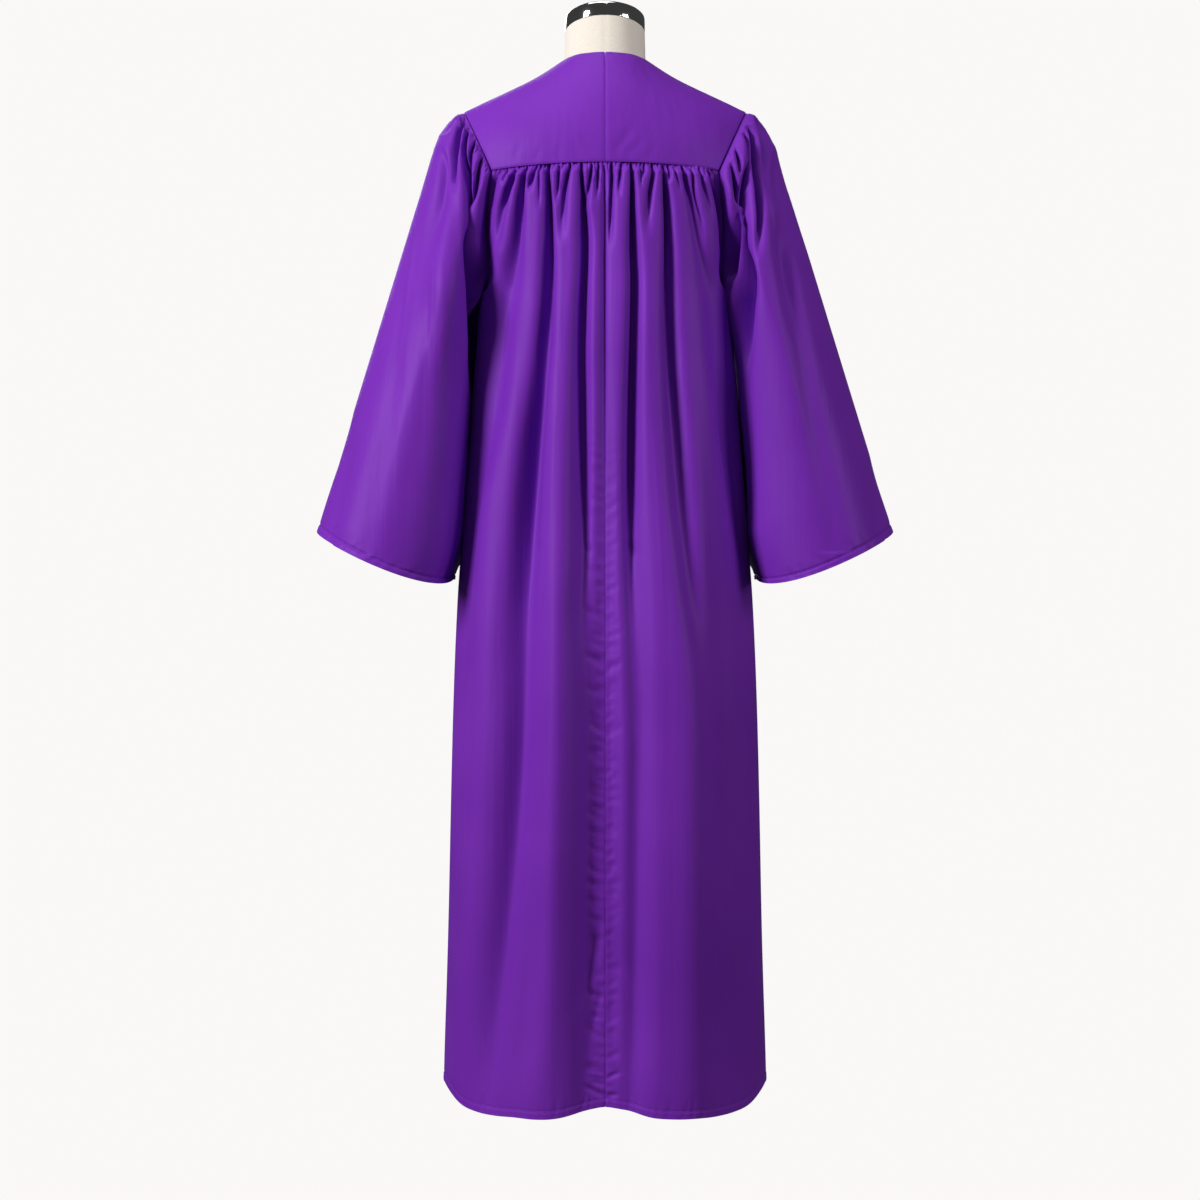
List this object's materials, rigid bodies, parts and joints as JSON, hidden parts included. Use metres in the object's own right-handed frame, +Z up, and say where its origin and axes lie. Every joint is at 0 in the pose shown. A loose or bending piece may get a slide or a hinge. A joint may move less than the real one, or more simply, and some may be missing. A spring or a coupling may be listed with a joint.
{
  "type": "choir robe on a dress form",
  "caption": "Long choir robe with a plain yoke, gathered back and front and open bell sleeves, worn by a limbless dress form that stands on a flat foot.",
  "frame": {"origin": "centre of the underside of the stand's foot, on the floor", "axes": "+Z up along the stand; the back of the robe faces +Y and its front faces -Y; +X towards the wearer's left"},
  "size_m": [0.746, 0.3325, 1.4138],
  "materials": {
    "robe_cloth": "satin",
    "form_linen": "matte",
    "neck_chrome": "polished",
    "stand_steel": "satin",
    "stand_iron": "matte"
  },
  "bodies": {
    "root": {"yoke_left": "robe_cloth", "yoke_right": "robe_cloth", "back_left": "robe_cloth", "back_right": "robe_cloth", "front_left": "robe_cloth", "front_right": "robe_cloth", "front_placket": "robe_cloth", "sleeve_left": "robe_cloth", "sleeve_right": "robe_cloth", "form_torso": "form_linen", "form_neck_cap": "neck_chrome", "stand_pole": "stand_steel", "stand_base": "stand_iron"}
  },
  "joints": []
}
